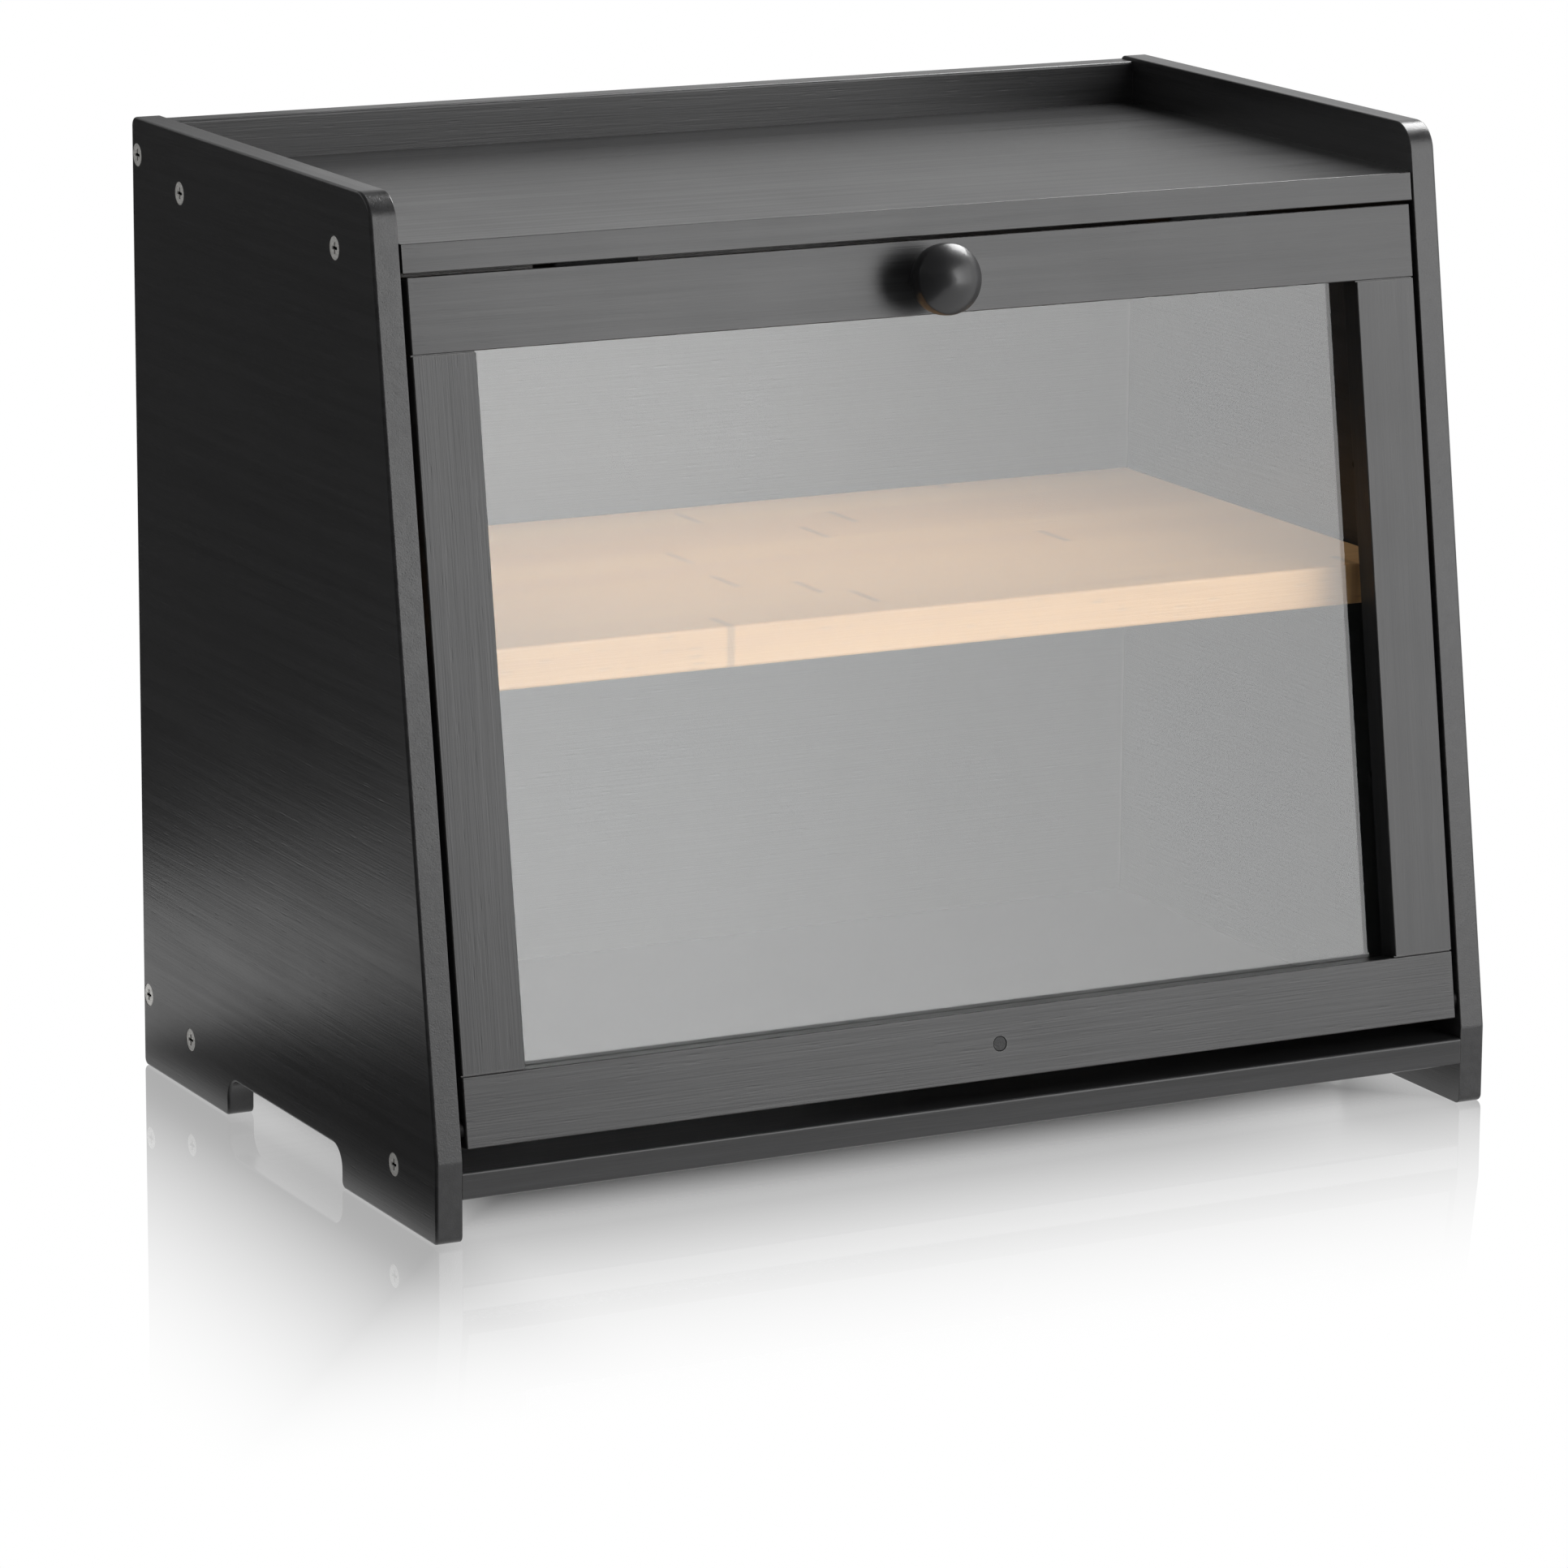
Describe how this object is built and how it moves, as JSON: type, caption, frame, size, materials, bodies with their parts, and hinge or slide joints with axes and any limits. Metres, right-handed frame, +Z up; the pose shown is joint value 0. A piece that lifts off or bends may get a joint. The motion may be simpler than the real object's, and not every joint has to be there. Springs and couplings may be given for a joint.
{
  "type": "bread box",
  "caption": "Countertop bread box with a leaning front, a drop-down windowed door, a lift-out inner shelf and an open tray on top.",
  "frame": {"origin": "on the worktop, at the middle of the footprint", "axes": "+X to the right seen from the front, +Y to the back, +Z up; the door faces -Y"},
  "size_m": [0.38, 0.236, 0.32],
  "materials": {
    "black_board": "satin black paint over fine-grained bamboo",
    "natural_bamboo": "clear satin lacquer on pale laminated bamboo",
    "dowel_wood": "raw hardwood dowel",
    "clear_acrylic": "clear sheet with a faint haze",
    "black_knob": "high gloss black",
    "nickel_screw": "nickel plated, satin",
    "steel_pin": "ground steel",
    "black_pin": "blackened steel",
    "catch_plastic": "matte black moulding",
    "magnet": "dark sintered ferrite",
    "zinc_plate": "zinc plated"
  },
  "bodies": {
    "cabinet": {"left_side_panel": "black_board", "right_side_panel": "black_board", "top_panel": "black_board", "bottom_panel": "black_board", "back_panel": "black_board", "top_panel_screws": "nickel_screw", "bottom_panel_screws": "nickel_screw", "back_panel_screws": "nickel_screw", "left_shelf_pins": "steel_pin", "right_shelf_pins": "steel_pin", "left_catch_housing": "catch_plastic", "right_catch_housing": "catch_plastic", "left_catch_magnet": "magnet", "right_catch_magnet": "magnet", "left_catch_pole_plates": "zinc_plate", "right_catch_pole_plates": "zinc_plate", "catch_screws": "nickel_screw"},
    "door": {"door_top_rail": "black_board", "door_bottom_rail": "black_board", "door_left_stile": "black_board", "door_right_stile": "black_board", "door_frame_dowels": "dowel_wood", "bottom_rail_plug": "black_board", "window_pane": "clear_acrylic", "window_screws": "nickel_screw", "knob": "black_knob", "knob_screw": "nickel_screw", "left_hinge_pin": "black_pin", "right_hinge_pin": "black_pin", "left_strike_plate": "zinc_plate", "right_strike_plate": "zinc_plate", "left_strike_screw": "nickel_screw", "right_strike_screw": "nickel_screw"},
    "shelf": {"shelf": "natural_bamboo"}
  },
  "joints": [
    {"name": "door_hinge", "type": "hinge", "parent": "cabinet", "child": "door", "pos_m": [0, -0.11203, 0.03492], "axis": [1, 0, 0], "range_deg": [0, 101]},
    {"name": "shelf_lift", "type": "slide", "parent": "cabinet", "child": "shelf", "axis": [0, 0, 1], "range_m": [0, 0.015]}
  ]
}
